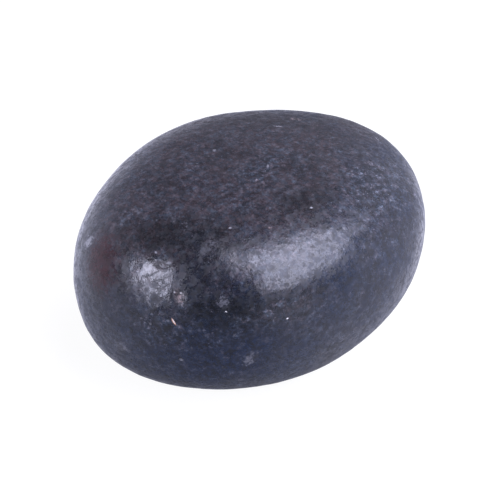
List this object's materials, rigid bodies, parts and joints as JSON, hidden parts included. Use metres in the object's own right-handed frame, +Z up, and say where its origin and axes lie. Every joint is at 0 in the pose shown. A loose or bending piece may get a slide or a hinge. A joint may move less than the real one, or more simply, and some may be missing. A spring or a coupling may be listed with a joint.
{
  "type": "river pebble",
  "caption": "Dark, smooth, water-worn stone with a broad low crown and round flanks, lying on a small flat patch of its underside.",
  "frame": {"origin": "on the surface the stone lies on, under the middle of its bounding box", "axes": "+X along the stone's length, +Y across its width, +Z up through its thickness"},
  "size_m": [0.0582, 0.0452, 0.0317],
  "materials": {
    "stone": "satin"
  },
  "bodies": {
    "root": {"pebble": "stone"}
  },
  "joints": []
}
